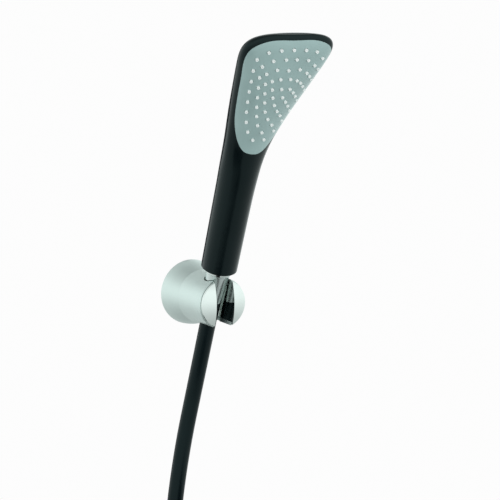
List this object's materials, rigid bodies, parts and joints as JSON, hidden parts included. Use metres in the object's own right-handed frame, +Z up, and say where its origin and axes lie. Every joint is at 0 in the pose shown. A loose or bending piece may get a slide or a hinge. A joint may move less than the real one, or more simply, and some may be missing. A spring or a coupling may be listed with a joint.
{
  "type": "handheld shower head set",
  "caption": "Handheld shower head with a black body and grey spray face, a swivelling chrome wall holder and a smooth black hose.",
  "frame": {"origin": "centre of the wall holder's back face, on the wall", "axes": "+Y into the wall, -Y out into the room, +Z up, X along the wall; the set is symmetric about X = 0 apart from the hose"},
  "size_m": [0.0828, 0.1994, 0.6283],
  "materials": {
    "zinc_plate": "grey cast",
    "satin_chrome": "satin",
    "polished_chrome": "polished",
    "screw_steel": "turned",
    "brass_core": "turned",
    "white_nylon": "moulded",
    "seal_rubber": "matte",
    "gloss_black": "gloss",
    "grey_face": "satin metallic grey",
    "silicone_nozzles": "soft translucent white",
    "black_hose": "smooth satin",
    "tie_black": "matte"
  },
  "bodies": {
    "wall_base": {"wall_plate": "zinc_plate", "friction_ring": "seal_rubber"},
    "holder_head": {"holder_housing": "satin_chrome", "swivel_bush": "white_nylon", "housing_grub_screw": "screw_steel", "fork_screws": "screw_steel", "swivel_fork": "polished_chrome"},
    "hose_end": {"hose_core_upper": "brass_core", "hose_ferrule_upper": "screw_steel", "hose": "black_hose", "hose_coil": "black_hose", "coil_tie": "tie_black", "hose_tail": "black_hose", "hose_ferrule_lower": "screw_steel", "hose_core_lower": "brass_core"},
    "handset": {"handset_shell": "gloss_black", "spray_face": "grey_face", "nozzle_mat": "silicone_nozzles", "face_seal": "seal_rubber", "jet_plate": "white_nylon", "water_tube": "white_nylon", "tube_orings": "seal_rubber", "inlet_nipple": "brass_core", "flow_regulator": "white_nylon", "inlet_sieve": "screw_steel", "cone_nut": "polished_chrome", "nut_washer": "seal_rubber"},
    "end_nut": {"hex_nut": "polished_chrome", "hex_washer": "seal_rubber"}
  },
  "joints": [
    {"name": "holder_swivel", "type": "hinge", "parent": "wall_base", "child": "holder_head", "pos_m": [0, 0, 0], "axis": [0, -1, 0], "range_deg": [-45, 45]},
    {"name": "handset_lift", "type": "slide", "parent": "holder_head", "child": "hose_end", "axis": [0, -0.3665, 0.9304], "range_m": [0, 0.04]},
    {"name": "handset_turn", "type": "hinge", "parent": "hose_end", "child": "handset", "pos_m": [0, -0.04525, 0], "axis": [0, -0.3665, 0.9304], "continuous": true},
    {"name": "hex_nut_spin", "type": "hinge", "parent": "hose_end", "child": "end_nut", "pos_m": [0.0036, -0.011, -0.37], "axis": [0, 0, -1], "continuous": true}
  ]
}
